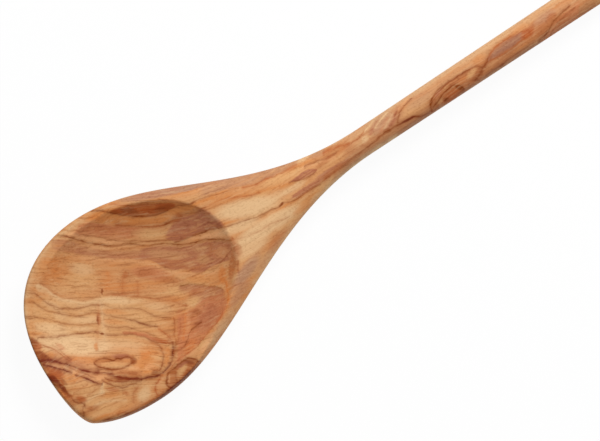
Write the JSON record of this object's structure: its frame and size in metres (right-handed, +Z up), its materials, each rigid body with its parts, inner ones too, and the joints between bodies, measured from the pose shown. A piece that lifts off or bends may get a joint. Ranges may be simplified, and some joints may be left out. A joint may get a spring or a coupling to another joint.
{
  "type": "corner spoon",
  "caption": "Carved olive-wood cooking spoon: a shallow oval hollow in a broad bowl with a squared corner for scraping pans, flowing through a flared shoulder into a slim round handle.",
  "frame": {"origin": "centre of the spoon's bounding box in plan, on the surface that it lies on", "axes": "+X along the handle, from the bowl's front edge to the handle's end; +Z up, out of the hollow; the squared corner is on the -Y side"},
  "size_m": [0.3, 0.075, 0.0175],
  "materials": {
    "olive_wood": "sanded and oiled to a satin sheen, honey-tan with brown bands and thin dark figure lines"
  },
  "bodies": {
    "root": {"spoon": "olive_wood"}
  },
  "joints": []
}
